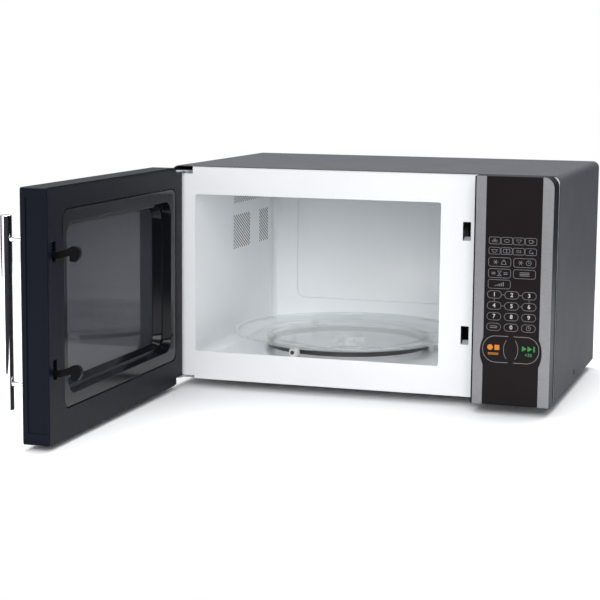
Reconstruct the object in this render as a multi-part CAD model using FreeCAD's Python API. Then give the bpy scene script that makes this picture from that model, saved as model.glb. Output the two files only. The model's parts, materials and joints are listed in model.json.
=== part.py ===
import FreeCAD, Part
import math
import os
from FreeCAD import Vector

# A countertop microwave oven with its side-hung door standing open at a right angle.
#
# Every shape is drawn in the cabinet's own axes: X from the wrapper's left side, Y backwards from the
# front plate's face, Z up from the wrapper's lower edge, in millimetres. Door pieces are drawn with the
# door shut, and are then swung open about the hinge line. Finally each piece is moved to the part's
# frame, whose origin is on the worktop, under the middle of the cabinet.

# Driving dimensions of the cabinet
WIDTH = 513.0
DEPTH = 340.0
HEIGHT = 284.0
FOOT_HEIGHT = 12.0
SHEET = 0.8                 # thickness of the cabinet and cavity steel
CORNER_R = 9.0              # rounded top edges of the wrapper
WRAP_LEAD = 1.5             # how far the wrapper stands ahead of the front plate
WRAP_FLANGE = 11.0          # inward flanges at the wrapper's rear and lower edges
BASE_T = 1.0
REAR_FACE = DEPTH - SHEET - 1.0

# Oven cavity (inside faces) and its opening in the front plate
CAV_X0, CAV_X1 = 31.6, 363.0
CAV_Z0, CAV_Z1 = 28.0, 254.0
CAV_BACK = 328.0
CAV_R = 12.0                # bend between floor and side walls
PAN_TOP = 48.0              # height of the floor pan's side walls
BACK_RIM = 306.0            # front edge of the drawn back pan
BACK_R = 7.0                # bend round the back pan's face
OPEN_Z0, OPEN_Z1 = 37.5, 246.3
OPEN_R = 3.0

# Turntable
TABLE_X, TABLE_Y = 197.3, 162.0
TRAY_R = 157.5
WHEEL_R = 6.85
WHEEL_W = 7.0
WHEEL_RADIUS_IN = 119.0     # inner face of each wheel, from the turntable's axis
RING_RO, RING_RI = 113.5, 106.0
WHEEL_Z = CAV_Z0 + 0.3 + WHEEL_R
TRAY_TRACK_Z = WHEEL_Z + WHEEL_R + 0.3

# Door, drawn shut
HINGE_X, HINGE_Y = 10.4, -10.2
DOOR_OPEN_DEG = 89.6
DOOR_X0, DOOR_X1 = 8.4, 412.4
DOOR_Z0, DOOR_Z1 = -5.8, 282.3
DOOR_FRONT = -37.0
DOOR_BACK = -4.2
SKIN_T = 0.8
DOOR_WALL = 2.4
DOOR_STEP = 2.0             # rebate along the top and bottom of the door's inner side
NOTCH_X = HINGE_X + 20.0    # the door's hinge corners are cut back to here
NOTCH_Z0, NOTCH_Z1 = 4.6, 275.2
PIN_R = 2.5
PIN_CLEARANCE = 0.06
RECESS_DEPTH = 22.0
PANE_FACE = DOOR_BACK - RECESS_DEPTH
LEDGE_Y = DOOR_BACK - 11.0  # narrow ledge half way down the recess

# Latch: two hooks on one sliding bar, and the slots they enter
HOOK_X = 396.9
HOOK_T = 6.0
HOOK_LOW_Z, HOOK_PITCH = 68.7, 132.3
SLOT_W, SLOT_H = 10.2, 23.6
SLOT_BELOW_HOOK = 1.6
HOOK_TRAVEL = 3.0

# Handle
BAR_X, BAR_Y = HINGE_X + 380.0, HINGE_Y - 55.0
BAR_R = 6.4
BAR_Z0, BAR_Z1 = 28.0, 249.0
POST_R = 3.2
POST_Z = (58.5, 222.3)

# Control panel
PANEL_X0, PANEL_X1 = 413.7, 511.5
PANEL_FRONT = -37.0
PANEL_R = 13.0
TRIM_T = 1.0
OVERLAY_X0, OVERLAY_X1 = 428.3, 497.8
BULGE_Z, BULGE_HALF_H, BULGE_OUT = 67.0, 20.5, 3.7

# Machinery space, right of the cavity
BAY_X0 = CAV_X1 + SHEET
FAN_X, FAN_Z = 440.0, 165.0
FAN_BLADE_R = 48.0
FAN_Y = 309.0
MAG_Y, MAG_Z = 132.0, 195.0
GUIDE_X1 = BAY_X0 + 38.0
FOOT_SPOTS = [(x, y) for x in (52.0, WIDTH - 52.0) for y in (88.0, DEPTH - 45.0)]
SIDE_SCREW_Z = 12.4
SIDE_SCREW_Y = 157.4
REAR_SCREWS = ((6.5, 90.0), (6.5, 220.0), (WIDTH - 6.5, 90.0), (WIDTH - 6.5, 220.0))
GROMMET_X, GROMMET_Z, GROMMET_R = 478.0, 45.0, 8.0


# Drawing helpers

def xy(z):
    return lambda u, v: Vector(u, v, z)


def xz(y):
    return lambda u, v: Vector(u, y, v)


def yz(x):
    return lambda u, v: Vector(x, u, v)


def polar(radius, degrees):
    angle = math.radians(degrees)
    return radius * math.cos(angle), radius * math.sin(angle)


def rounded(at, u0, u1, v0, v1, r=0.0):
    """A rectangle with rounded corners: one radius, or four from (u0, v0) round anticlockwise."""
    radii = r if isinstance(r, tuple) else (r,) * 4
    centres = (
        (u0 + radii[0], v0 + radii[0]),
        (u1 - radii[1], v0 + radii[1]),
        (u1 - radii[2], v1 - radii[2]),
        (u0 + radii[3], v1 - radii[3]),
    )
    corners = []
    for k, (cu, cv) in enumerate(centres):
        spots = [polar(radii[k], 180 + 90 * k + turn) for turn in (0, 45, 90)]
        corners.append([at(cu + du, cv + dv) for du, dv in spots])
    edges = []
    for k, (first, middle, last) in enumerate(corners):
        if radii[k] > 0:
            edges.append(Part.Arc(first, middle, last).toShape())
        following = corners[(k + 1) % 4][0]
        if (following - last).Length > 1e-6:
            edges.append(Part.makeLine(last, following))
    return Part.Wire(edges)


def circle(at, u, v, r):
    normal = (at(1, 0) - at(0, 0)).cross(at(0, 1) - at(0, 0))
    return Part.Wire([Part.makeCircle(r, at(u, v), normal)])


def polygon(at, points):
    spots = [at(u, v) for u, v in points]
    return Part.makePolygon(spots + spots[:1])


def slab(depth, outline, holes=()):
    """A flat plate: an outline with holes, given thickness along the vector depth."""
    return Part.makeFace([outline, *holes], "Part::FaceMakerBullseye").extrude(Vector(*depth))


def block(x0, x1, y0, y1, z0, z1):
    return Part.makeBox(x1 - x0, y1 - y0, z1 - z0, Vector(x0, y0, z0))


def rod(start, end, r):
    start, end = Vector(*start), Vector(*end)
    return Part.makeCylinder(r, (end - start).Length, start, end - start)


def sleeve(start, end, outer_r, inner_r):
    return rod(start, end, outer_r).cut(rod(start, end, inner_r))


def join(first, *others):
    return first.fuse(list(others)).removeSplitter()


def group(*solids):
    return Part.makeCompound(list(solids))


def fillet_edges(shape, r, wanted):
    return shape.makeFillet(r, [e for e in shape.Edges if wanted(e.BoundBox)])


def flat_in(low, high, value):
    return abs(low - value) < 1e-4 and abs(high - value) < 1e-4


def hex_holes(at, u0, u1, v0, v1, hole_r, pitch):
    """Round holes in staggered rows that fill a rectangle."""
    holes = []
    rows = int((v1 - v0 - 2 * hole_r) / (pitch * math.sin(math.radians(60)))) + 1
    for row in range(rows):
        v = v0 + hole_r + row * pitch * math.sin(math.radians(60))
        u = u0 + hole_r + (row % 2) * pitch / 2
        while u <= u1 - hole_r:
            holes.append(circle(at, u, v, hole_r))
            u += pitch
    return holes


def tube(points, r):
    """A wire of radius r along straight runs that are joined by tangent arcs."""
    points = [Vector(*p) for p in points]
    edges = []
    last = points[0]
    for before, corner, after in zip(points, points[1:], points[2:]):
        back, ahead = before - corner, after - corner
        turn = math.pi - back.getAngle(ahead)
        setback = 0.45 * min(back.Length, ahead.Length)
        radius = setback / math.tan(turn / 2)
        back.normalize()
        ahead.normalize()
        start, end = corner + back * setback, corner + ahead * setback
        inward = (back + ahead).normalize()
        middle = corner + inward * (radius / math.cos(turn / 2) - radius)
        edges += [Part.makeLine(last, start), Part.Arc(start, middle, end).toShape()]
        last = end
    edges.append(Part.makeLine(last, points[-1]))
    path = Part.Wire(edges)
    section = Part.Wire([Part.makeCircle(r, points[0], points[1] - points[0])])
    return path.makePipeShell([section], True, False)


def screw(head, tip, shank_r=1.7, head_r=3.6, head_t=2.0):
    """A pan-head screw whose head sits on the point head and whose shank runs to tip."""
    head, tip = Vector(*head), Vector(*tip)
    out = (head - tip).normalize()
    cap = Part.makeCylinder(head_r, head_t, head, out)
    cap = fillet_edges(cap, 1.2, lambda b: (b.Center - head).Length > head_t / 2)
    slot = Part.makeCylinder(1.2, 1.0, head + out * (head_t - 1.0), out)
    shank = Part.makeCylinder(shank_r, (head - tip).Length, tip, out)
    return join(cap.cut(slot), shank)


# Cabinet

def wrapper_prism(y0, y1, inset, bottom):
    r = CORNER_R - inset
    outline = rounded(xz(y0), inset, WIDTH - inset, bottom, HEIGHT - inset, (0, 0, r, r))
    return slab((0, y1 - y0, 0), outline)


def outer_wrapper():
    shell = wrapper_prism(-WRAP_LEAD, DEPTH - 1.0, 0.0, 0.0)
    shell = shell.cut(wrapper_prism(-WRAP_LEAD - 1, DEPTH - 1.0 - SHEET, SHEET, SHEET))
    window = rounded(xz(DEPTH - 5), WRAP_FLANGE, WIDTH - WRAP_FLANGE, -1, HEIGHT - WRAP_FLANGE, (0, 0, 4, 4))
    shell = shell.cut(slab((0, 10, 0), window))
    shell = shell.cut(block(WRAP_FLANGE, WIDTH - WRAP_FLANGE, -5, DEPTH, -1, SHEET + 1))
    shell = shell.cut(block(SHEET, WIDTH - SHEET, -5, SHEET, -1, SHEET + 1))
    shell = shell.cut(rod((-1, SIDE_SCREW_Y, SIDE_SCREW_Z), (WIDTH + 1, SIDE_SCREW_Y, SIDE_SCREW_Z), 1.8))
    for x, z in REAR_SCREWS:
        shell = shell.cut(rod((x, DEPTH - 5, z), (x, DEPTH + 5, z), 1.8))
    return shell


def base_plate():
    at = xy(SHEET)
    y1 = REAR_FACE - SHEET
    holes = [circle(at, x, y, 2.2) for x, y in FOOT_SPOTS]
    for row in range(6):
        y = 112.0 + 12.0 * row
        holes.append(rounded(at, 385.0, 425.0, y, y + 4.0, 2.0))
        holes.append(rounded(at, 435.0, 475.0, y, y + 4.0, 2.0))
    holes.append(circle(at, TABLE_X, TABLE_Y, 9.0))
    outline = rounded(at, SHEET, WIDTH - SHEET, SHEET, y1)
    floor = slab((0, 0, BASE_T), outline, holes)
    sides = []
    for x in (SHEET, WIDTH - 2 * SHEET):
        lip = block(x, x + SHEET, 12, y1, SHEET + BASE_T, 20)
        lip = lip.cut(rod((x - 1, SIDE_SCREW_Y, SIDE_SCREW_Z), (x + 2, SIDE_SCREW_Y, SIDE_SCREW_Z), 1.8))
        sides.append(lip)
    return join(floor, *sides)


def rear_panel():
    at = xz(REAR_FACE - SHEET)
    holes = hex_holes(at, 388.0, 492.0, 112.0, 218.0, 2.6, 8.0)
    for column in range(3):
        for row in range(9):
            x, z = 60.0 + 48.0 * column, 150.0 + 9.0 * row
            holes.append(rounded(at, x, x + 38.0, z, z + 4.0, 2.0))
    holes.append(circle(at, GROMMET_X, GROMMET_Z, GROMMET_R))
    holes += [circle(at, x, z, 1.8) for x, z in REAR_SCREWS]
    r = CORNER_R - SHEET
    outline = rounded(at, SHEET, WIDTH - SHEET, SHEET, HEIGHT - SHEET, (0, 0, r, r))
    return slab((0, SHEET, 0), outline, holes)


def latch_slot_outline(at, growth=0.0):
    spots = (HOOK_LOW_Z, HOOK_LOW_Z + HOOK_PITCH)
    half = SLOT_W / 2 + growth
    return [
        rounded(at, HOOK_X - half, HOOK_X + half, z - SLOT_BELOW_HOOK - growth,
                z - SLOT_BELOW_HOOK + SLOT_H + growth, 1.0)
        for z in spots
    ]


def front_plate():
    at = xz(0.0)
    r = CORNER_R - SHEET
    top = HEIGHT - SHEET
    outline = rounded(at, SHEET, WIDTH - SHEET, 0.0, top, (0, 0, r, r))
    holes = [rounded(at, CAV_X0, CAV_X1, OPEN_Z0, OPEN_Z1, OPEN_R)]
    holes += latch_slot_outline(at)
    holes.append(rounded(at, 430.0, 500.0, 60.0, 240.0, 5.0))
    plate = slab((0, SHEET, 0), outline, holes)
    flange = slab((0, 10.0, 0), outline)
    inner = rounded(xz(-1.0), 2 * SHEET, WIDTH - 2 * SHEET, -1.0, top - SHEET, (0, 0, r - SHEET, r - SHEET))
    flange = flange.cut(slab((0, 20.0, 0), inner)).cut(block(0, WIDTH, -1, 12, -1, 24))
    plate = join(plate, flange)
    plate = plate.cut(block(-1, 28.0, -1, 12, 273.5, HEIGHT))
    return plate.cut(block(-1, 30.0, -1, SHEET + 1, -1, 4.0))


def cavity_floor_pan():
    y0, y1 = SHEET, CAV_BACK + SHEET
    outer = rounded(xz(y0), CAV_X0 - SHEET, CAV_X1 + SHEET, CAV_Z0 - SHEET, PAN_TOP,
                    (CAV_R + SHEET, CAV_R + SHEET, 0, 0))
    inner = rounded(xz(y0), CAV_X0, CAV_X1, CAV_Z0, PAN_TOP + 5, (CAV_R, CAV_R, 0, 0))
    hollow = slab((0, y1 - y0, 0), inner)
    pan = slab((0, y1 - y0, 0), outer).cut(hollow)
    rise = OPEN_Z0 - CAV_Z0
    bead = block(CAV_X0, CAV_X1, y0, y0 + rise, CAV_Z0, OPEN_Z0)
    bend = rod((CAV_X0 - 1, y0 + rise, OPEN_Z0), (CAV_X1 + 1, y0 + rise, OPEN_Z0), rise)
    pan = join(pan, bead.cut(bend).common(hollow))
    return pan.cut(rod((TABLE_X, TABLE_Y, 0), (TABLE_X, TABLE_Y, 60), 7.0))


def cavity_side_wall(x, holes):
    outline = rounded(yz(x), SHEET, CAV_BACK + SHEET, PAN_TOP, CAV_Z1)
    return slab((SHEET, 0, 0), outline, holes)


def cavity_left_wall():
    at = yz(CAV_X0 - SHEET)

    def upright(v, u):
        return at(u, v)

    holes = hex_holes(upright, 158.0, 208.0, 149.0, 218.5, 1.5, 5.0)
    holes += hex_holes(upright, 158.0, 206.0, 259.0, 298.0, 1.5, 5.0)
    holes += hex_holes(upright, 222.3, 240.0, 151.5, 298.0, 1.5, 5.0)
    return cavity_side_wall(CAV_X0 - SHEET, holes)


def cavity_right_wall():
    at = yz(CAV_X1)
    holes = hex_holes(at, 206.0, 240.0, 205.0, 240.0, 1.5, 4.3)
    holes.append(rounded(at, MAG_Y - 32, MAG_Y + 32, 128.0, 176.0, 3.0))
    return cavity_side_wall(CAV_X1, holes)


def cavity_ceiling():
    return block(CAV_X0 - SHEET, CAV_X1 + SHEET, SHEET, CAV_BACK + SHEET, CAV_Z1, CAV_Z1 + SHEET)


def back_pan_solid(y0, y1, inset, bend):
    corners = (CAV_R - inset, CAV_R - inset, 1.0, 1.0)
    outline = rounded(xz(y0), CAV_X0 + inset, CAV_X1 - inset, CAV_Z0 + inset, CAV_Z1 - inset, corners)
    body = slab((0, y1 - y0, 0), outline)
    low = fillet_edges(body, bend, lambda b: flat_in(b.YMin, b.YMax, y1) and b.ZMax < CAV_Z1 - 3)
    return low


def cavity_back_pan():
    outer = back_pan_solid(BACK_RIM, CAV_BACK + SHEET, 0.0, BACK_R + SHEET)
    inner = back_pan_solid(BACK_RIM - 1, CAV_BACK, SHEET, BACK_R)
    x0, x1, z0, z1 = 68.0, CAV_X0 + CAV_X1 - 68.0, 69.0, 226.0
    step = 3.0
    boss = slab((0, step + SHEET, 0),
                rounded(xz(CAV_BACK), x0 - SHEET, x1 + SHEET, z0 - SHEET, z1 + SHEET, 14.8))
    dish = slab((0, step + 5, 0), rounded(xz(CAV_BACK - 5), x0, x1, z0, z1, 14.0))
    dish = fillet_edges(dish, 2.4, lambda b: flat_in(b.YMin, b.YMax, CAV_BACK + step))
    return join(outer, boss).cut(inner).cut(dish)


def feet():
    solids = []
    for x, y in FOOT_SPOTS:
        cone = Part.makeCone(10.5, 13.0, FOOT_HEIGHT + SHEET, Vector(x, y, -FOOT_HEIGHT), Vector(0, 0, 1))
        well = rod((x, y, -FOOT_HEIGHT), (x, y, -FOOT_HEIGHT + 6.0), 4.2)
        bore = rod((x, y, -FOOT_HEIGHT), (x, y, 5), 1.75)
        solids.append(cone.cut(well).cut(bore))
    return group(*solids)


def case_screws():
    solids = []
    for x, tip in ((0, 7), (WIDTH, WIDTH - 7)):
        solids.append(screw((x, SIDE_SCREW_Y, SIDE_SCREW_Z), (tip, SIDE_SCREW_Y, SIDE_SCREW_Z)))
    for x, z in REAR_SCREWS:
        solids.append(screw((x, DEPTH - 1.0, z), (x, DEPTH - 8.0, z)))
    for x, y in FOOT_SPOTS:
        solids.append(screw((x, y, -FOOT_HEIGHT + 6.0), (x, y, 6.0), 1.7, 3.4))
    return group(*solids)


def cord_grommet():
    outer = sleeve((GROMMET_X, REAR_FACE, GROMMET_Z), (GROMMET_X, DEPTH + 1.0, GROMMET_Z), GROMMET_R + 3, 4.0)
    neck = sleeve((GROMMET_X, REAR_FACE - SHEET, GROMMET_Z), (GROMMET_X, REAR_FACE, GROMMET_Z),
                  GROMMET_R, 4.0)
    inner = sleeve((GROMMET_X, REAR_FACE - 4, GROMMET_Z), (GROMMET_X, REAR_FACE - SHEET, GROMMET_Z),
                   GROMMET_R + 2.5, 4.0)
    return join(outer, neck, inner)


# Hinges: a tab that reaches over the door's cut-back corner, with a riveted pin

def hinge(tab_z, pin_tip_z, leg_z0, leg_z1):
    tab_t = 1.5
    tab = join(block(HINGE_X - 6.5, HINGE_X + 6.5, HINGE_Y, SHEET + tab_t, tab_z, tab_z + tab_t),
               rod((HINGE_X, HINGE_Y, tab_z), (HINGE_X, HINGE_Y, tab_z + tab_t), 6.5))
    leg = block(3.0, 29.0, SHEET, SHEET + tab_t, leg_z0, leg_z1)
    pin = rod((HINGE_X, HINGE_Y, tab_z + tab_t / 2), (HINGE_X, HINGE_Y, pin_tip_z), PIN_R)
    return join(tab, leg, pin)


def upper_hinge():
    return hinge(276.4, 263.0, 247.0, 277.9)


def lower_hinge():
    return hinge(2.0, 17.0, 2.0, 34.0)


# Latch board and interlock switches

def latch_board():
    x0, x1 = HOOK_X - 14.0, HOOK_X + 14.0
    z0, z1 = 54.0, 236.0
    face = slab((0, 2.0, 0), rounded(xz(SHEET), x0, x1, z0, z1, 2.0), latch_slot_outline(xz(SHEET), 0.8))
    web = block(x1 - 2.5, x1, SHEET, 52.0, z0, z1)
    pieces = [web]
    for z in (HOOK_LOW_Z, HOOK_LOW_Z + HOOK_PITCH):
        ledge = block(HOOK_X - 8, x1, SHEET + 2, 48.0, z - 7.0, z - 4.0)
        catch = polygon(yz(HOOK_X - 5), ((6.0, z - 4.0), (15.0, z - 4.0), (15.0, z + 2.4), (11.0, z + 2.4),
                                         (6.0, z - 1.0)))
        pieces += [ledge, slab((10.0, 0, 0), catch)]
    return join(face, *pieces)


def interlock_switch(hook_z):
    y0 = 32.4
    z0 = hook_z - 3.4
    case = block(HOOK_X - 5, HOOK_X + 5.5, y0, y0 + 16.0, z0, z0 + 28.0)
    case = case.cut(rod((HOOK_X, y0 - 1, hook_z + 8), (HOOK_X, y0 + 6, hook_z + 8), 1.56))
    tabs = [block(HOOK_X - 3, HOOK_X + 3, y0 + 16.0, y0 + 22.0, z0 + dz, z0 + dz + 0.8) for dz in (4, 13, 22)]
    return join(case, *tabs)


def switch_plunger(hook_z):
    return rod((HOOK_X, 29.4, hook_z + 8), (HOOK_X, 36.0, hook_z + 8), 1.5)


# Machinery

def waveguide():
    y0, y1, z0, z1 = MAG_Y - 42, MAG_Y + 42, 118.0, 238.0
    outer = block(BAY_X0, GUIDE_X1, y0, y1, z0, z1)
    inner = block(BAY_X0 - 1, GUIDE_X1 - 1.0, y0 + 1, y1 - 1, z0 + 1, z1 - 1)
    flange = slab((1.0, 0, 0), rounded(yz(BAY_X0), y0 - 9, y1 + 9, z0 - 9, z1 + 9, 4.0),
                  [rounded(yz(BAY_X0), y0, y1, z0, z1)])
    port = rod((GUIDE_X1 - 5, MAG_Y, MAG_Z), (GUIDE_X1 + 5, MAG_Y, MAG_Z), 12.0)
    return join(outer.cut(inner), flange).cut(port)


def mica_cover():
    plate = slab((-0.5, 0, 0), rounded(yz(CAV_X1), MAG_Y - 48, MAG_Y + 48, 112.0, 196.0, 8.0))
    clips = [rod((CAV_X1 - 0.5, MAG_Y + dy, z), (CAV_X1 - 2.0, MAG_Y + dy, z), 3.0)
             for dy in (-40, 40) for z in (120.0, 188.0)]
    return join(plate, *clips)


def magnetron():
    x0 = GUIDE_X1
    y0, y1, z0, z1 = MAG_Y - 40, MAG_Y + 40, MAG_Z - 42, MAG_Z + 42
    seat = block(x0, x0 + 1.5, y0, y1, z0, z1)
    yoke = block(x0 + 4, x0 + 72, y0 + 4, y1 - 4, z0 + 4, z1 - 4)
    yoke = yoke.cut(block(x0 + 5.5, x0 + 70.5, y0 - 5, y1 + 5, z0 + 5.5, z1 - 5.5))
    ribs = [block(x0 + 1.5, x0 + 4, MAG_Y - 12, MAG_Y + 12, z, z + 8) for z in (z0 + 6, z1 - 14)]
    anode = rod((x0 + 1.5, MAG_Y, MAG_Z), (x0 + 72, MAG_Y, MAG_Z), 19.0)
    fins = [block(x0 + 20 + 5 * k, x0 + 20.8 + 5 * k, y0 + 4, y1 - 4, z0 + 5.5, z1 - 5.5) for k in range(7)]
    magnets = [rod((x0 + dx, MAG_Y, MAG_Z), (x0 + dx + 12, MAG_Y, MAG_Z), 27.0) for dx in (5.5, 58.5)]
    antenna = rod((x0 - 26, MAG_Y, MAG_Z), (x0 + 1.5, MAG_Y, MAG_Z), 7.5)
    filter_box = block(x0 + 72, x0 + 98, MAG_Y - 30, MAG_Y + 30, MAG_Z - 26, MAG_Z + 26)
    terminals = [block(x0 + 80, x0 + 86, MAG_Y - 30 - 8, MAG_Y - 30, MAG_Z + dz, MAG_Z + dz + 1)
                 for dz in (-10, 10)]
    return join(seat, yoke, *ribs, anode, *fins, *magnets, antenna, filter_box, *terminals)


def air_duct():
    x0, x1, z0, z1 = GUIDE_X1 + 2, GUIDE_X1 + 74, MAG_Z - 42, MAG_Z + 42
    y0, y1 = MAG_Y + 41, 256.0
    return block(x0, x1, y0, y1, z0, z1).cut(block(x0 + 1.5, x1 - 1.5, y0 - 1, y1 + 1, z0 + 1.5, z1 - 1.5))


def exhaust_duct():
    x0, x1 = 4.0, CAV_X0 - SHEET
    shell = block(x0, x1, 138.0, 322.0, 146.0, 248.0)
    return shell.cut(block(x0 + 1.5, x1 + 1, 139.5, 323.0, 147.5, 246.5))


CORE_X0, CORE_X1 = 386.0, 482.0
CORE_Y0, CORE_Y1 = 196.0, 256.0
CORE_Z0, CORE_Z1 = SHEET + BASE_T + 3.0, 84.0


def transformer_core():
    leg = 16.0
    core = block(CORE_X0, CORE_X1, CORE_Y0, CORE_Y1, CORE_Z0, CORE_Z1)
    mid = (CORE_X0 + CORE_X1) / 2
    for x0, x1 in ((CORE_X0 + leg, mid - leg), (mid + leg, CORE_X1 - leg)):
        core = core.cut(block(x0, x1, CORE_Y0 - 1, CORE_Y1 + 1, CORE_Z0 + leg, CORE_Z1 - leg))
    foot = block(CORE_X0 - 10, CORE_X1 + 10, CORE_Y0 + 4, CORE_Y1 - 4, SHEET + BASE_T, CORE_Z0)
    return join(core, foot)


def transformer_windings():
    leg = 16.0
    mid = (CORE_X0 + CORE_X1) / 2
    z_mid = (CORE_Z0 + CORE_Z1) / 2
    coils = []
    for z0, z1 in ((CORE_Z0 + leg + 0.5, z_mid - 1.5), (z_mid + 1.5, CORE_Z1 - leg - 0.5)):
        outer = rounded(xy(z0), CORE_X0 + leg + 0.5, CORE_X1 - leg - 0.5, CORE_Y0 - 15, CORE_Y1 + 15, 10.0)
        inner = rounded(xy(z0), mid - leg - 0.4, mid + leg + 0.4, CORE_Y0 - 0.4, CORE_Y1 + 0.4)
        coils.append(slab((0, 0, z1 - z0), outer, [inner]))
    return group(*coils)


def hv_capacitor():
    z0 = SHEET + BASE_T
    can = slab((0, 0, 88), rounded(xy(z0), 392.0, 446.0, 96.0, 130.0, 16.9))
    lugs = [block(x, x + 6.3, 112.6, 113.4, z0 + 88, z0 + 100) for x in (404.0, 428.0)]
    return join(can, *lugs)


def hv_diode():
    z = 60.0
    body = rod((452.0, 113.0, z), (474.0, 113.0, z), 4.5)
    lead = rod((474.0, 113.0, z), (500.0, 113.0, z), 0.8)
    eye = sleeve((503.0, 111.8, z), (503.0, 114.2, z), 4.0, 1.8)
    return join(body, rod((446.5, 113.0, z), (452.0, 113.0, z), 0.8), lead, eye)


def fan_shroud():
    y0 = 290.0
    plate = slab((0, 3.0, 0), rounded(xz(y0), FAN_X - 62, FAN_X + 62, FAN_Z - 60, FAN_Z + 60, 6.0),
                 [circle(xz(y0), FAN_X, FAN_Z, FAN_BLADE_R + 3.0)])
    ring = sleeve((FAN_X, y0, FAN_Z), (FAN_X, REAR_FACE - SHEET - 1, FAN_Z),
                  FAN_BLADE_R + 5.0, FAN_BLADE_R + 3.0)
    arms = [block(FAN_X - 62, FAN_X + 62, y0 - 4, y0, FAN_Z + dz, FAN_Z + dz + 5) for dz in (-23, 18)]
    return join(plate, ring, *arms)


def fan_motor():
    y0 = 262.0
    stack = slab((0, 20.0, 0), rounded(xz(y0), FAN_X - 26, FAN_X + 26, FAN_Z - 22, FAN_Z + 34, 3.0),
                 [circle(xz(y0), FAN_X, FAN_Z, 11.0)])
    coil = block(FAN_X - 14, FAN_X + 14, y0 - 5, y0, FAN_Z + 14, FAN_Z + 36)
    bearing = sleeve((FAN_X, y0 + 20, FAN_Z), (FAN_X, y0 + 24, FAN_Z), 15.0, 2.1)
    return join(stack, coil, bearing)


def fan_blade():
    hub = rod((FAN_X, FAN_Y - 10, FAN_Z), (FAN_X, FAN_Y + 10, FAN_Z), 13.0)
    shaft = rod((FAN_X, 266.0, FAN_Z), (FAN_X, FAN_Y - 10, FAN_Z), 2.0)
    rotor = rod((FAN_X, 266.0, FAN_Z), (FAN_X, 281.0, FAN_Z), 10.5)
    reach = rod((FAN_X, FAN_Y - 12, FAN_Z), (FAN_X, FAN_Y + 12, FAN_Z), FAN_BLADE_R)
    blades = []
    for k in range(6):
        vane = block(FAN_X - 14, FAN_X + 14, FAN_Y - 0.8, FAN_Y + 0.8, FAN_Z + 9, FAN_Z + 60)
        vane.rotate(Vector(FAN_X, FAN_Y, FAN_Z), Vector(0, 0, 1), 28)
        vane = vane.common(reach)
        vane.rotate(Vector(FAN_X, FAN_Y, FAN_Z), Vector(0, 1, 0), 60 * k)
        blades.append(vane)
    return join(hub, shaft, rotor, *blades)


def oven_lamp():
    y, z = 223.0, 222.0
    back = BAY_X0 + 38
    holder = block(back - 12, back, y - 9, y + 9, z - 9, z + 9)
    bulb = rod((back - 31, y, z), (back - 16, y, z), 8.0)
    bulb = fillet_edges(bulb, 6.0, lambda b: flat_in(b.XMin, b.XMax, back - 31))
    neck = rod((back - 16.5, y, z), (back - 12, y, z), 6.0)
    foot = block(BAY_X0, back, y - 9, y + 9, z - 12, z - 10)
    post = block(back - 12, back, y - 9, y + 9, z - 10, z - 9)
    return join(holder, bulb, neck, foot, post)


def filter_board():
    x = BAY_X0 + 4.0
    board = block(x, x + 1.6, 244.0, 286.0, 172.0, 248.0)
    choke = sleeve((x + 1.6, 258.0, 230.0), (x + 15.0, 258.0, 230.0), 12.0, 5.0)
    parts = [
        block(x + 1.6, x + 12.0, 246.0, 262.0, 176.0, 202.0),
        rod((x + 5.6, 275.0, 178.0), (x + 5.6, 275.0, 198.0), 4.4),
        block(x + 1.6, x + 9.0, 270.0, 284.0, 205.0, 218.0),
        rod((x - 4.0, 248.0, 244.0), (x, 248.0, 244.0), 2.5),
        rod((x - 4.0, 282.0, 176.0), (x, 282.0, 176.0), 2.5),
    ]
    return join(board, choke, *parts)


def thermal_cutouts():
    solids = []
    for x, y, z in ((GUIDE_X1 + 40, MAG_Y + 10, MAG_Z + 38), (330.0, 120.0, CAV_Z1 + SHEET)):
        disc = rod((x, y, z), (x, y, z + 6), 8.0)
        flange = block(x - 12, x + 12, y - 5, y + 5, z, z + 1)
        tabs = [block(x + dx, x + dx + 4.0, y - 3, y + 3, z + 6, z + 11) for dx in (-6.0, 2.0)]
        solids.append(join(disc, flange, *tabs))
    return group(*solids)


def turntable_motor():
    z0, z1 = SHEET + BASE_T + 4.0, CAV_Z0 - SHEET
    can = rod((TABLE_X, TABLE_Y, z0), (TABLE_X, TABLE_Y, z1), 24.5)
    ears = block(TABLE_X - 32, TABLE_X + 32, TABLE_Y - 5, TABLE_Y + 5, z1 - 1.0, z1)
    tail = block(TABLE_X - 12, TABLE_X + 12, TABLE_Y + 22, TABLE_Y + 34, z0 + 3, z0 + 13)
    socket = rod((TABLE_X, TABLE_Y, z1 - 6.0), (TABLE_X, TABLE_Y, z1 + 1), 5.06)
    return join(can, ears, tail).cut(socket)


WIRES = (
    ((398.0, 176.0, 120.0), (398.0, 184.0, 108.0), (420.0, 186.0, 100.0), (420.0, 182.0, 70.0)),
    ((478.0, 92.0, 186.0), (490.0, 82.0, 170.0), (492.0, 90.0, 120.0), (470.0, 120.0, 110.0),
     (445.0, 140.0, 100.0), (440.0, 176.0, 80.0)),
    ((407.0, 105.0, 104.0), (407.0, 95.0, 114.0), (440.0, 75.0, 130.0), (478.0, 70.0, 160.0),
     (486.0, 88.0, 180.0)),
    ((375.0, 265.0, 168.0), (378.0, 272.0, 140.0), (376.0, 284.0, 60.0), (420.0, 300.0, 20.0),
     (470.0, 318.0, 30.0)),
    ((440.0, 14.0, 150.0), (440.0, 34.0, 156.0), (424.0, 66.0, 248.0), (382.0, 200.0, 262.0),
     (374.0, 250.0, 256.0)),
)


def wire_harness():
    return group(*[tube(points, 2.2) for points in WIRES])


# Turntable

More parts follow.
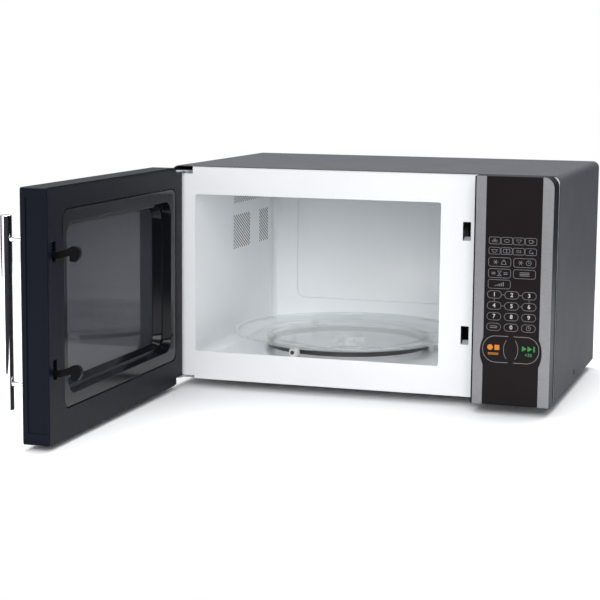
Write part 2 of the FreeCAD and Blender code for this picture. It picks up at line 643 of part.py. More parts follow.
def glass_tray():
    under = TRAY_TRACK_Z
    top = under + 4.4
    rim = top + 5.6
    points = (
        (0.0, under - 1.4), (104.0, under - 1.4), (109.0, under), (136.0, under), (TRAY_R - 4.0, rim - 4.6),
        (TRAY_R, rim - 3.6), (TRAY_R, rim - 0.8), (TRAY_R - 0.8, rim), (TRAY_R - 3.4, rim),
        (TRAY_R - 4.4, rim - 0.8), (TRAY_R - 7.0, rim - 2.4), (134.5, top), (112.0, top), (107.0, top - 1.4),
        (0.0, top - 1.4),
    )
    profile = polygon(lambda u, v: Vector(TABLE_X + u, TABLE_Y, v), points)
    dish = Part.Face(profile).revolve(Vector(TABLE_X, TABLE_Y, 0), Vector(0, 0, 1), 360)
    lugs = []
    for k in range(3):
        lug = block(TABLE_X + 13.0, TABLE_X + 24.0, TABLE_Y - 4, TABLE_Y + 4, under - 6.0, under - 1.0)
        lug.rotate(Vector(TABLE_X, TABLE_Y, 0), Vector(0, 0, 1), 60 + 120 * k)
        lugs.append(lug)
    return join(dish, *lugs)


def drive_coupler():
    top = TRAY_TRACK_Z - 1.4 - 0.3
    hub = rod((TABLE_X, TABLE_Y, CAV_Z0 + 1.0), (TABLE_X, TABLE_Y, top), 11.0)
    stem = rod((TABLE_X, TABLE_Y, CAV_Z0 - SHEET - 5.0), (TABLE_X, TABLE_Y, CAV_Z0 + 1.0), 5.0)
    arms = []
    for k in range(3):
        arm = block(TABLE_X, TABLE_X + 24.0, TABLE_Y - 4.5, TABLE_Y + 4.5, top - 5.0, top)
        arm.rotate(Vector(TABLE_X, TABLE_Y, 0), Vector(0, 0, 1), 120 * k)
        arms.append(arm)
    return join(hub, stem, *arms)


def wheel_angle(k):
    return 250.0 + 120.0 * k


def roller_ring():
    z0, z1 = WHEEL_Z - 3.0, WHEEL_Z + 3.0
    ring = sleeve((TABLE_X, TABLE_Y, z0), (TABLE_X, TABLE_Y, z1), RING_RO, RING_RI)
    axles = []
    for k in range(3):
        wheel_out = WHEEL_RADIUS_IN + WHEEL_W
        axle = rod((RING_RO - 2.0, 0, WHEEL_Z), (wheel_out + 0.6, 0, WHEEL_Z), 1.9)
        tip = rod((wheel_out + 0.6, 0, WHEEL_Z), (wheel_out + 2.0, 0, WHEEL_Z), 2.6)
        collar = rod((RING_RO - 2.0, 0, WHEEL_Z), (WHEEL_RADIUS_IN - 0.4, 0, WHEEL_Z), 3.0)
        pin = join(axle, tip, collar)
        pin.rotate(Vector(0, 0, 0), Vector(0, 0, 1), wheel_angle(k))
        pin.translate(Vector(TABLE_X, TABLE_Y, 0))
        axles.append(pin)
    return join(ring, *axles)


def roller(k):
    start, end = WHEEL_RADIUS_IN, WHEEL_RADIUS_IN + WHEEL_W
    wheel = sleeve((start, 0, WHEEL_Z), (end, 0, WHEEL_Z), WHEEL_R, 1.96)
    wheel = fillet_edges(wheel, 0.8, lambda b: b.DiagonalLength > 2.5 * WHEEL_R and b.XLength < 0.01)
    wheel.rotate(Vector(0, 0, 0), Vector(0, 0, 1), wheel_angle(k))
    wheel.translate(Vector(TABLE_X, TABLE_Y, 0))
    return wheel


# Door, drawn shut. Distances along X that start with HINGE_X are measured from the hinge line.

def door_outline(y, inset, r):
    return rounded(xz(y), DOOR_X0 + inset, DOOR_X1 - inset, DOOR_Z0 + inset, DOOR_Z1 - inset, r)


def hinge_notches(shape):
    for z0, z1 in ((DOOR_Z0 - 1, NOTCH_Z0), (NOTCH_Z1, DOOR_Z1 + 1)):
        shape = shape.cut(block(DOOR_X0 - 1, NOTCH_X, DOOR_FRONT - 1, DOOR_BACK + 1, z0, z1))
    return shape


COVER_X0, COVER_X1 = HINGE_X + 20.5, HINGE_X + 363.9
COVER_Z0, COVER_Z1 = 28.7, 256.3
COVER_R = 13.0
RECESS = (HINGE_X + 37.8, HINGE_X + 352.6, 44.0, 240.5)
PANE = (HINGE_X + 49.0, HINGE_X + 341.4, 54.0, 230.5)


def door_frame():
    front = DOOR_FRONT + SKIN_T
    body = slab((0, DOOR_BACK - front, 0), door_outline(front, 0.0, 3.0))
    body = fillet_edges(body, 1.2, lambda b: flat_in(b.YMin, b.YMax, DOOR_BACK))
    hollow = slab((0, DOOR_BACK - DOOR_WALL - front + 1, 0), door_outline(front - 1, DOOR_WALL, 1.0))
    keep = []
    for z0, z1 in ((DOOR_Z0, 30.0), (252.0, DOOR_Z1)):
        keep.append(block(DOOR_X0, HINGE_X + 12.0, front, DOOR_BACK - 0.5, z0, z1))
    body = body.cut(hollow.cut(keep[0]).cut(keep[1]))
    for z0, z1 in ((DOOR_Z0 - 1, DOOR_Z0 + DOOR_STEP), (DOOR_Z1 - DOOR_STEP, DOOR_Z1 + 1)):
        body = body.cut(block(DOOR_X0 - 1, DOOR_X1 + 1, DOOR_BACK - DOOR_STEP, DOOR_BACK + 1, z0, z1))
    cover = rounded(xz(DOOR_BACK - 10), COVER_X0, COVER_X1, COVER_Z0, COVER_Z1, COVER_R)
    body = body.cut(slab((0, 20, 0), cover))
    for slot in latch_slot_outline(xz(DOOR_BACK - 10), -0.4):
        body = body.cut(slab((0, 20, 0), slot))
    body = body.cut(block(DOOR_X1 - 1.2, DOOR_X1 + 1, -31.0, -8.0, 8.0, 271.0))
    for z0, z1 in ((-10.0, 18.0), (261.0, 290.0)):
        body = body.cut(rod((HINGE_X, HINGE_Y, z0), (HINGE_X, HINGE_Y, z1), PIN_R + PIN_CLEARANCE))
    anchor = block(HOOK_X - 2, HOOK_X + 2, front + 6, DOOR_BACK - DOOR_WALL + 0.1, 24.0, 27.0)
    return join(hinge_notches(body), anchor)


def door_front_skin():
    window = rounded(xz(DOOR_FRONT), HINGE_X + 34.0, HINGE_X + 352.0, 40.0, 246.0, 10.0)
    skin = slab((0, SKIN_T, 0), door_outline(DOOR_FRONT, 0.0, 3.0), [window])
    for z in POST_Z:
        skin = skin.cut(rod((BAR_X, DOOR_FRONT - 1, z), (BAR_X, DOOR_FRONT + 2, z), 2.1))
    return hinge_notches(skin)


def door_outer_glass():
    y = DOOR_FRONT + SKIN_T
    return slab((0, 3.0, 0), rounded(xz(y), HINGE_X + 24.0, HINGE_X + 360.0, 32.0, 254.0, 6.0))


def tapered(y0, y1, low, high, growth=0.0):
    """A solid between two rounded rectangles at the depths y0 and y1."""
    wires = []
    for y, (x0, x1, z0, z1), r in ((y0, low, 12.0), (y1, high, 18.0)):
        wires.append(rounded(xz(y), x0 - growth, x1 + growth, z0 - growth, z1 + growth, r + growth))
    return Part.makeLoft(wires, True, True)


def shrunk(sides, inset):
    x0, x1, z0, z1 = sides
    return x0 + inset, x1 - inset, z0 + inset, z1 - inset


def door_choke_cover():
    wall = 1.8
    face = DOOR_BACK - 0.2
    inset = 0.9
    plate = slab((0, 2.4, 0), rounded(xz(face - 2.4), COVER_X0 + inset, COVER_X1 - inset, COVER_Z0 + inset,
                                      COVER_Z1 - inset, COVER_R - inset))
    plate = fillet_edges(plate, 1.6, lambda b: flat_in(b.YMin, b.YMax, face))
    ledge_out, ledge_in = shrunk(RECESS, 3.0), shrunk(RECESS, 6.0)
    funnel = join(tapered(PANE_FACE, LEDGE_Y, PANE, ledge_in, wall),
                  tapered(LEDGE_Y - wall, face, ledge_out, RECESS, wall))
    mouth = join(tapered(PANE_FACE - 0.01, LEDGE_Y + 0.01, PANE, ledge_in),
                 tapered(LEDGE_Y, face + 0.01, ledge_out, RECESS))
    inside = rounded(xz(PANE_FACE), COVER_X0 + 2, COVER_X1 - 2, COVER_Z0 + 2, COVER_Z1 - 2, 11.0)
    funnel = funnel.common(slab((0, face - 0.5 - PANE_FACE, 0), inside))
    return join(plate, funnel).cut(mouth)


def door_inner_pane():
    x0, x1, z0, z1 = PANE
    return slab((0, 0.8, 0), rounded(xz(PANE_FACE - 0.8), x0 - 8, x1 + 8, z0 - 8, z1 + 8, 12.0))


def door_screen():
    sheet_t = 0.8
    y0 = PANE_FACE - 0.8 - sheet_t
    y1 = DOOR_BACK - 5.0
    margin = 3.0
    outer = rounded(xz(y0), COVER_X0 + margin, COVER_X1 - margin, COVER_Z0 + margin, COVER_Z1 - margin, 10.0)
    inner = rounded(xz(y0 + sheet_t), COVER_X0 + margin + sheet_t, COVER_X1 - margin - sheet_t,
                    COVER_Z0 + margin + sheet_t, COVER_Z1 - margin - sheet_t, 9.2)
    return slab((0, y1 - y0, 0), outer).cut(slab((0, 40, 0), inner))


def hook_profile(z):
    """One hook from the side: an arm that rises slightly and ends in a drooping rounded toe."""
    y0, y1 = -20.0, 28.4
    toe = y1 - 6.5
    bottom = z
    top = (toe - 3.0, z + 17.0)
    tip = (y1, z + 10.5)
    spots = ((y0, z + 1.5), (y0, z + 9.5), (DOOR_BACK + 6.0, z + 10.0), (toe - 8.0, z + 14.5), top)
    crown = Part.Arc(Vector(0, *top), Vector(0, y1 - 2.0, z + 15.2), Vector(0, *tip)).toShape()
    nose = Part.Arc(Vector(0, *tip), Vector(0, y1 - 1.2, z + 4.5), Vector(0, toe + 1.5, bottom)).toShape()
    heel = [(toe + 1.5, bottom), (toe - 5.5, bottom + 0.4), (toe - 6.0, z + 6.5), (DOOR_BACK + 8.0, z + 3.0),
            (y0, z + 1.5)]
    run = [Part.makeLine(Vector(0, *a), Vector(0, *b)) for a, b in zip(spots, spots[1:])]
    back = [Part.makeLine(Vector(0, *a), Vector(0, *b)) for a, b in zip(heel, heel[1:])]
    return Part.Wire([*run, crown, nose, *back])


def latch_hooks():
    solids = []
    for z in (HOOK_LOW_Z, HOOK_LOW_Z + HOOK_PITCH):
        arm = slab((HOOK_T, 0, 0), hook_profile(z))
        arm.translate(Vector(HOOK_X - HOOK_T / 2, 0, 0))
        solids.append(arm)
    bar = block(HOOK_X - HOOK_T / 2, HOOK_X + HOOK_T / 2, -27.0, -19.0,
                HOOK_LOW_Z - 8, HOOK_LOW_Z + HOOK_PITCH + 16)
    return join(bar, *solids)


SPRING_Z0, SPRING_Z1 = 27.2, HOOK_LOW_Z - 8.0


def latch_spring():
    coil_r, wire_r, turns = 3.2, 0.5, 9
    helix = Part.makeHelix((SPRING_Z1 - SPRING_Z0 - 2 * wire_r - 0.4) / turns,
                           SPRING_Z1 - SPRING_Z0 - 2 * wire_r - 0.4, coil_r)
    section = Part.Wire([Part.makeCircle(wire_r, Vector(coil_r, 0, 0), Vector(0, 1, 0))])
    spring = Part.Wire(helix.Edges).makePipeShell([section], True, True)
    spring.translate(Vector(HOOK_X, -23.0, SPRING_Z0 + wire_r + 0.2))
    return spring


def handle_bar():
    bar = rod((BAR_X, BAR_Y, BAR_Z0), (BAR_X, BAR_Y, BAR_Z1), BAR_R)
    return fillet_edges(bar, 1.0, lambda b: b.ZLength < 0.01)


def handle_posts():
    bar = rod((BAR_X, BAR_Y, BAR_Z0), (BAR_X, BAR_Y, BAR_Z1), BAR_R)
    solids = []
    for z in POST_Z:
        stem = rod((BAR_X, DOOR_FRONT, z), (BAR_X, BAR_Y + 2, z), POST_R)
        foot = rod((BAR_X, DOOR_FRONT, z), (BAR_X, DOOR_FRONT - 2.0, z), POST_R + 1.8)
        bore = rod((BAR_X, DOOR_FRONT + 1, z), (BAR_X, DOOR_FRONT - 12.0, z), 1.9)
        solids.append(join(stem, foot).cut(bar).cut(bore))
    return group(*solids)


def handle_screws():
    seat = DOOR_FRONT + SKIN_T
    return group(*[screw((BAR_X, seat, z), (BAR_X, DOOR_FRONT - 11.0, z), 1.85, 4.2, 2.6) for z in POST_Z])


# Control panel

def bulge(y, growth=0.0):
    """The lens-shaped swelling of the keypad round its two largest keys, as a wide flat cylinder."""
    half_w = (OVERLAY_X1 - OVERLAY_X0) / 2 + BULGE_OUT + growth
    half_h = BULGE_HALF_H + growth
    mid = (OVERLAY_X0 + OVERLAY_X1) / 2
    side_w = (OVERLAY_X1 - OVERLAY_X0) / 2 - 2.0
    spots = [(mid - side_w, BULGE_Z + half_h), (mid - half_w, BULGE_Z), (mid - side_w, BULGE_Z - half_h),
             (mid + side_w, BULGE_Z - half_h), (mid + half_w, BULGE_Z), (mid + side_w, BULGE_Z + half_h)]
    at = xz(y)
    edges = [
        Part.Arc(at(*spots[0]), at(*spots[1]), at(*spots[2])).toShape(),
        Part.makeLine(at(*spots[2]), at(*spots[3])),
        Part.Arc(at(*spots[3]), at(*spots[4]), at(*spots[5])).toShape(),
        Part.makeLine(at(*spots[5]), at(*spots[0])),
    ]
    return Part.Wire(edges)


def panel_outline(y, x0, x1, inset=0.0):
    r = PANEL_R - inset
    corner = (0.5, 0.5, r, 0.5) if x1 > OVERLAY_X1 + 1 else (0.3, 0.3, 0.3, 0.3)
    return rounded(xz(y), x0 + inset, x1 - inset, inset, HEIGHT - inset, corner)


def control_panel_frame():
    wall = 2.2
    front = PANEL_FRONT + TRIM_T
    body = slab((0, -front, 0), panel_outline(front, PANEL_X0, PANEL_X1))
    body = body.cut(slab((0, -front - wall + 1, 0), panel_outline(front + wall, PANEL_X0, PANEL_X1, wall)))
    body = body.cut(block(PANEL_X0 - 1, PANEL_X1 + 1, -WRAP_LEAD - 0.1, 1, HEIGHT - SHEET - 0.1, HEIGHT + 1))
    display = rounded(xz(front - 1), 436.0, 490.0, 222.0, 262.0, 2.0)
    keys = rounded(xz(front - 1), 434.0, 492.0, 50.0, 212.0, 2.0)
    return body.cut(slab((0, 5, 0), display)).cut(slab((0, 5, 0), keys))


def panel_trim(x0, x1):
    strip = slab((0, TRIM_T, 0), panel_outline(PANEL_FRONT, x0, x1))
    return strip.cut(slab((0, 5, 0), bulge(PANEL_FRONT - 1, 0.15)))


def panel_trim_left():
    return panel_trim(PANEL_X0 + 1.9, OVERLAY_X0)


def panel_trim_right():
    return panel_trim(OVERLAY_X1, PANEL_X1)


def keypad_overlay():
    y = PANEL_FRONT + 0.15
    strip = slab((0, TRIM_T - 0.15, 0),
                 rounded(xz(y), OVERLAY_X0 + 0.15, OVERLAY_X1 - 0.15, 1.2, HEIGHT - 0.6, 0.5))
    return join(strip, slab((0, TRIM_T - 0.15, 0), bulge(y)))


def control_board():
    y = -24.0
    board = block(421.0, 505.0, y, y + 1.6, 18.0, 268.0)
    pads = [rod((443.0 + 20 * i, y, 74.0 + 13.5 * j), (443.0 + 20 * i, y - 5.5, 74.0 + 13.5 * j), 3.0)
            for i in range(3) for j in range(9)]
    relays = [block(430.0 + 22 * k, 446.0 + 22 * k, y + 1.6, y + 17.0, 30.0, 58.0) for k in range(3)]
    supply = block(432.0, 468.0, y + 1.6, y + 23.0, 80.0, 112.0)
    buzzer = rod((488.0, y + 1.6, 96.0), (488.0, y + 9.6, 96.0), 9.0)
    return join(board, *pads, *relays, supply, buzzer)


def display_module():
    return block(437.0, 489.0, -33.6, -24.2, 223.0, 261.0)


CABINET_PIECES = {
    "outer_wrapper": outer_wrapper,
    "base_plate": base_plate,
    "rear_panel": rear_panel,
    "front_plate": front_plate,
    "cavity_floor_pan": cavity_floor_pan,
    "cavity_left_wall": cavity_left_wall,
    "cavity_right_wall": cavity_right_wall,
    "cavity_ceiling": cavity_ceiling,
    "cavity_back_pan": cavity_back_pan,
    "feet": feet,
    "case_screws": case_screws,
    "cord_grommet": cord_grommet,
    "upper_hinge": upper_hinge,
    "lower_hinge": lower_hinge,
    "latch_board": latch_board,
    "upper_switch": lambda: interlock_switch(HOOK_LOW_Z + HOOK_PITCH),
    "lower_switch": lambda: interlock_switch(HOOK_LOW_Z),
    "upper_switch_plunger": lambda: switch_plunger(HOOK_LOW_Z + HOOK_PITCH),
    "lower_switch_plunger": lambda: switch_plunger(HOOK_LOW_Z),
    "control_panel_frame": control_panel_frame,
    "panel_trim_left": panel_trim_left,
    "panel_trim_right": panel_trim_right,
    "keypad_overlay": keypad_overlay,
    "control_board": control_board,
    "display_module": display_module,
    "waveguide": waveguide,
    "mica_cover": mica_cover,
    "magnetron": magnetron,
    "air_duct": air_duct,
    "exhaust_duct": exhaust_duct,
    "transformer_core": transformer_core,
    "transformer_windings": transformer_windings,
    "hv_capacitor": hv_capacitor,
    "hv_diode": hv_diode,
    "fan_shroud": fan_shroud,
    "fan_motor": fan_motor,
    "fan_blade": fan_blade,
    "oven_lamp": oven_lamp,
    "filter_board": filter_board,
    "thermal_cutouts": thermal_cutouts,
    "wire_harness": wire_harness,
    "turntable_motor": turntable_motor,
    "drive_coupler": drive_coupler,
    "glass_tray": glass_tray,
    "roller_ring": roller_ring,
    "roller_1": lambda: roller(0),
    "roller_2": lambda: roller(1),
    "roller_3": lambda: roller(2),
}
DOOR_PIECES = {
    "door_frame": door_frame,
    "door_front_skin": door_front_skin,
    "door_outer_glass": door_outer_glass,
    "door_choke_cover": door_choke_cover,
    "door_inner_pane": door_inner_pane,
    "door_screen": door_screen,
    "latch_hooks": latch_hooks,
    "latch_spring": latch_spring,
    "handle_bar": handle_bar,
    "handle_posts": handle_posts,
    "handle_screws": handle_screws,
}


def save(name, shape):
    shape.translate(Vector(-WIDTH / 2, -DEPTH / 2, FOOT_HEIGHT))
    shape.exportStep(f"parts/{name}.step")
    box = shape.BoundBox
    print(f"{name}: {len(shape.Solids)} solids, valid {shape.isValid()}, {shape.Volume / 1000:.1f} cm3,"
          f" {box.XLength:.1f} x {box.YLength:.1f} x {box.ZLength:.1f}")


os.makedirs("parts", exist_ok=True)
for piece_name, make in CABINET_PIECES.items():
    save(piece_name, make())
for piece_name, make in DOOR_PIECES.items():
    leaf = make()
    leaf.rotate(Vector(HINGE_X, HINGE_Y, 0), Vector(0, 0, 1), -DOOR_OPEN_DEG)
    save(piece_name, leaf)
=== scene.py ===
import json
import math

import bmesh
import bpy
from mathutils import Matrix, Vector


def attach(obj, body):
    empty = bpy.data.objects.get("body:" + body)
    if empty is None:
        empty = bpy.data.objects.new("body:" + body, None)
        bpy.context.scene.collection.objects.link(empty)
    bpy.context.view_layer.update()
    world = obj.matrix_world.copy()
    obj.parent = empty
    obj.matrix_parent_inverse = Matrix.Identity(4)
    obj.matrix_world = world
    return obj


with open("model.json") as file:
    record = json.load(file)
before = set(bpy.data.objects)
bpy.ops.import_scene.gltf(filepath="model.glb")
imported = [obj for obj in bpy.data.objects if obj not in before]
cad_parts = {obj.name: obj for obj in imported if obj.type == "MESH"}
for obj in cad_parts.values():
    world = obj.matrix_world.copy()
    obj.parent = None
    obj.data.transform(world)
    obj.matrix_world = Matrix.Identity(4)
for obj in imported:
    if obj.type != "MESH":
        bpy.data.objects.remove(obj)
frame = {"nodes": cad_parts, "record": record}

# A countertop microwave oven with its door open. The camera and the printing on the keypad are given in
# millimetres in the cabinet's own axes: x from the wrapper's left side, y back from the front plate's
# face, z up from the wrapper's lower edge. place() turns them into the frame's metres. Lamps, floor and
# materials are in metres from the start.
MM = 0.001
CABINET_ORIGIN = Vector((-256.5, -170.0, 12.0))

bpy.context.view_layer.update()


def place(x, y, z):
    """A point given in the cabinet's millimetres, in the frame."""
    return (Vector((x, y, z)) + CABINET_ORIGIN) * MM


# ---------------------------------------------------------------- camera

EYE = Vector((842.4, -2082.2, 422.0))
YAW = -0.3090
PITCH = -0.1404
ROLL = 0.0085
LENS = 101.69


def make_camera():
    """A camera in front of the oven, a little above it and to its right."""
    data = bpy.data.cameras.new("camera")
    data.lens = LENS
    data.sensor_width = 36.0
    data.clip_start = 0.05
    data.clip_end = 50.0
    camera = bpy.data.objects.new("camera", data)
    ahead = Vector((math.sin(YAW) * math.cos(PITCH), math.cos(YAW) * math.cos(PITCH), math.sin(PITCH)))
    level = Vector((math.cos(YAW), -math.sin(YAW), 0.0))
    upright = level.cross(ahead)
    right = level * math.cos(ROLL) + upright * math.sin(ROLL)
    up = upright * math.cos(ROLL) - level * math.sin(ROLL)
    turn = Matrix((right, up, -ahead)).transposed().to_4x4()
    camera.matrix_world = Matrix.Translation(place(*EYE)) @ turn
    bpy.context.scene.collection.objects.link(camera)
    bpy.context.scene.camera = camera


# ---------------------------------------------------------------- light and floor

FLOOR_HALF = 1.8
FLOOR_FRONT = -1.0
FLOOR_REAR = 1.0
BRIGHT_SIDE = (-0.2, 0.15, 0.95)
WORLD_STOPS = ((0.3, (0.03, 0.03, 0.035)), (0.55, (0.1, 0.105, 0.12)), (1.0, (0.85, 0.86, 0.89)))


def soft_light(name, spot, aim, size, power):
    """A square lamp at the point spot, that wide, facing the point aim."""
    data = bpy.data.lights.new(name, "AREA")
    data.shape = "SQUARE"
    data.size = size
    data.energy = power
    lamp = bpy.data.objects.new(name, data)
    lamp.location = spot
    lamp.rotation_mode = "QUATERNION"
    lamp.rotation_quaternion = (Vector(spot) - Vector(aim)).to_track_quat("Z", "Y")
    bpy.context.scene.collection.objects.link(lamp)


def soft_sun(name, where, spread, strength):
    """A distant lamp in the direction where, as wide as that many degrees."""
    data = bpy.data.lights.new(name, "SUN")
    data.energy = strength
    data.angle = math.radians(spread)
    lamp = bpy.data.objects.new(name, data)
    lamp.rotation_mode = "QUATERNION"
    lamp.rotation_quaternion = Vector(where).to_track_quat("Z", "Y")
    bpy.context.scene.collection.objects.link(lamp)


def make_world():
    """White to the camera. As light it is dim round the oven and bright above it."""
    world = bpy.data.worlds.new("studio")
    world.use_nodes = True
    tree = world.node_tree
    way = add(tree, "ShaderNodeTexCoord").outputs["Generated"]
    lean = add(tree, "ShaderNodeVectorMath", {0: way, 1: BRIGHT_SIDE}, operation="DOT_PRODUCT")
    spread = {"Value": lean.outputs["Value"], "From Min": -1.0, "From Max": 1.0}
    factor = add(tree, "ShaderNodeMapRange", spread).outputs["Result"]
    glow = colours(tree, factor, *WORLD_STOPS)
    light = tree.nodes["Background"]
    tree.links.new(glow, light.inputs["Color"])
    backdrop = add(tree, "ShaderNodeBackground", {"Color": (1.0, 1.0, 1.0, 1.0), "Strength": 1.0})
    seen = add(tree, "ShaderNodeLightPath").outputs["Is Camera Ray"]
    mix = add(tree, "ShaderNodeMixShader", {0: seen, 1: light.outputs[0], 2: backdrop.outputs[0]})
    tree.links.new(mix.outputs[0], tree.nodes["World Output"].inputs["Surface"])
    bpy.context.scene.world = world


# ---------------------------------------------------------------- shader helpers


def add(tree, kind, inputs=None, **settings):
    """A node of that kind. An input is a plain value or another node's output."""
    node = tree.nodes.new(kind)
    for key, value in settings.items():
        setattr(node, key, value)
    for key, value in (inputs or {}).items():
        if isinstance(value, bpy.types.NodeSocket):
            tree.links.new(value, node.inputs[key])
        else:
            node.inputs[key].default_value = value
    return node


def new_material(name, **sockets):
    """A material with its Principled shader's sockets set, and the object's own coordinates."""
    material = bpy.data.materials.new(name)
    material.use_nodes = True
    tree = material.node_tree
    shader = tree.nodes["Principled BSDF"]
    for key, value in sockets.items():
        shader.inputs[key.replace("_", " ")].default_value = value
    spot = add(tree, "ShaderNodeTexCoord").outputs["Object"]
    return material, tree, shader, spot


def stretched(tree, spot, scale):
    """The coordinates scaled apart along the three axes."""
    return add(tree, "ShaderNodeMapping", {"Vector": spot, "Scale": scale}).outputs["Vector"]


def noise(tree, spot, scale, detail=3.0):
    """Cloudy grey, finer as the scale grows."""
    return add(tree, "ShaderNodeTexNoise", {"Vector": spot, "Scale": scale, "Detail": detail}).outputs["Fac"]


def colours(tree, factor, *stops):
    """A colour ramp through (place, colour) stops."""
    ramp = add(tree, "ShaderNodeValToRGB", {"Fac": factor})
    elements = ramp.color_ramp.elements
    while len(elements) < len(stops):
        elements.new(0.5)
    for element, (where, colour) in zip(elements, stops):
        element.position = where
        element.color = (*colour, 1.0)
    return ramp.outputs["Color"]


def between(tree, factor, low, high):
    """The factor, which runs about 0.25 to 0.75, spread from low to high."""
    values = {"Value": factor, "From Min": 0.25, "From Max": 0.75, "To Min": low, "To Max": high}
    return add(tree, "ShaderNodeMapRange", values).outputs["Result"]


def relief(tree, shader, height, strength, depth, edge):
    """Bumps of that depth in metres, over edges rounded by the radius edge."""
    soft = add(tree, "ShaderNodeBevel", {"Radius": edge}, samples=4).outputs["Normal"]
    values = {"Height": height, "Strength": strength, "Distance": depth, "Normal": soft}
    tree.links.new(add(tree, "ShaderNodeBump", values).outputs["Normal"], shader.inputs["Normal"])


def shade(colour, amount):
    """The colour made lighter or darker by that share."""
    return tuple(min(1.0, channel * (1.0 + amount)) for channel in colour)


def coat(name, colour, rough, wander=0.08, patch=25.0, grain=900.0, strength=0.15, depth=0.0001,
         edge=0.0004, **sockets):
    """Paint, plastic or plain metal: a colour that wanders, uneven gloss and a fine grain."""
    material, tree, shader, spot = new_material(name, **sockets)
    drift = noise(tree, spot, patch)
    tint = colours(tree, drift, (0.3, shade(colour, -wander)), (0.7, shade(colour, wander)))
    tree.links.new(tint, shader.inputs["Base Color"])
    fine = noise(tree, spot, grain, 2.0)
    tree.links.new(between(tree, fine, rough * 0.85, rough * 1.15), shader.inputs["Roughness"])
    relief(tree, shader, fine, strength, depth, edge)
    return material


def brushed(name, colour, rough, grain_scale, strength=0.25, edge=0.0004):
    """Metal with a straight grain: long streaks along the axis of the smallest scale."""
    material, tree, shader, spot = new_material(name, Metallic=1.0)
    streaks = noise(tree, stretched(tree, spot, grain_scale), 1.0, 4.0)
    fine = noise(tree, spot, 1600.0, 1.0)
    both = add(tree, "ShaderNodeMath", {0: streaks, 1: fine}, operation="ADD").outputs["Value"]
    half = add(tree, "ShaderNodeMath", {0: both, 1: 0.5}, operation="MULTIPLY").outputs["Value"]
    tint = colours(tree, half, (0.38, shade(colour, -0.14)), (0.62, shade(colour, 0.1)))
    tree.links.new(tint, shader.inputs["Base Color"])
    tree.links.new(between(tree, streaks, rough - 0.08, rough + 0.1), shader.inputs["Roughness"])
    relief(tree, shader, half, strength, 0.00005, edge)
    return material


def spangled(name, colour, rough):
    """Zinc-coated steel, with its patchwork of crystals."""
    material, tree, shader, spot = new_material(name, Metallic=0.9)
    crystal = add(tree, "ShaderNodeTexVoronoi", {"Vector": spot, "Scale": 160.0}).outputs["Color"]
    tone = add(tree, "ShaderNodeRGBToBW", {"Color": crystal}).outputs["Val"]
    tint = colours(tree, tone, (0.2, shade(colour, -0.15)), (0.8, shade(colour, 0.12)))
    tree.links.new(tint, shader.inputs["Base Color"])
    tree.links.new(between(tree, tone, rough - 0.06, rough + 0.08), shader.inputs["Roughness"])
    relief(tree, shader, noise(tree, spot, 500.0), 0.1, 0.0001, 0.0003)
    return material


def banded(name, colour, dark, rough, axis, pitch, metallic=0.0):
    """Layers or turns of wire: fine ridges that repeat along one axis."""
    material, tree, shader, spot = new_material(name, Metallic=metallic)
    wave = add(tree, "ShaderNodeTexWave", {"Vector": spot, "Scale": 0.314 / pitch, "Distortion": 0.4},
               bands_direction=axis).outputs["Fac"]
    tint = colours(tree, wave, (0.1, dark), (0.6, colour))
    tree.links.new(tint, shader.inputs["Base Color"])
    grain = noise(tree, spot, 700.0)
    tree.links.new(between(tree, grain, rough - 0.08, rough + 0.08), shader.inputs["Roughness"])
    relief(tree, shader, wave, 0.5, pitch * 0.3, 0.0003)
    return material


def glassy(name, colour, rough, weight, index=1.5, edge=0.0003, **sockets):
    """Clear or smoked glass or film, with faint smears."""
    material, tree, shader, spot = new_material(name, IOR=index, Transmission_Weight=weight, **sockets)
    smear = noise(tree, stretched(tree, spot, (30.0, 30.0, 9.0)), 1.0)
    tint = colours(tree, smear, (0.3, shade(colour, -0.03)), (0.7, shade(colour, 0.03)))
    tree.links.new(tint, shader.inputs["Base Color"])
    tree.links.new(between(tree, smear, rough * 0.6, rough * 1.4), shader.inputs["Roughness"])
    relief(tree, shader, smear, 0.02, 0.0002, edge)
    return material


def perforated(name, colour, hole, pitch):
    """Painted sheet with a staggered pattern of small round holes, for a sheet across the x axis."""
    material, tree, shader, spot = new_material(name)
    turned = add(tree, "ShaderNodeMapping", {
        "Vector": spot,
        "Rotation": (math.radians(45.0), 0.0, 0.0),
        "Scale": (0.0, 1.0 / pitch, 1.0 / pitch),
    }).outputs["Vector"]
    cells = add(tree, "ShaderNodeTexVoronoi", {"Vector": turned, "Scale": 1.0, "Randomness": 0.0})
    reach = cells.outputs["Distance"]
    tint = colours(tree, reach, (0.3, hole), (0.38, colour))
    tree.links.new(tint, shader.inputs["Base Color"])
    smooth = {"Value": reach, "From Min": 0.3, "From Max": 0.38, "To Min": 0.9, "To Max": 0.35}
    tree.links.new(add(tree, "ShaderNodeMapRange", smooth).outputs["Result"], shader.inputs["Roughness"])
    relief(tree, shader, reach, 0.3, 0.0003, 0.0002)
    return material


def punched(name, colour, hole_shade, rough):
    """Enamelled sheet across the x axis; the walls of the holes punched through it take a dark colour,
    painted shade inside the holes.
    """
    material, tree, shader, spot = new_material(name, Coat_Weight=0.3, Coat_Roughness=0.05)
    normal = add(tree, "ShaderNodeNewGeometry").outputs["True Normal"]
    facing = add(tree, "ShaderNodeSeparateXYZ", {"Vector": normal}).outputs["X"]
    flat = add(tree, "ShaderNodeMath", {0: facing}, operation="ABSOLUTE").outputs["Value"]
    # Faces not turned along x, the walls of the holes, get the dark colour: painted shade inside the holes.
    tree.links.new(colours(tree, flat, (0.4, hole_shade), (0.6, colour)), shader.inputs["Base Color"])
    grain = noise(tree, spot, 260.0)
    tree.links.new(between(tree, grain, rough * 0.85, rough * 1.15), shader.inputs["Roughness"])
    relief(tree, shader, grain, 0.02, 0.0001, 0.0002)
    return material


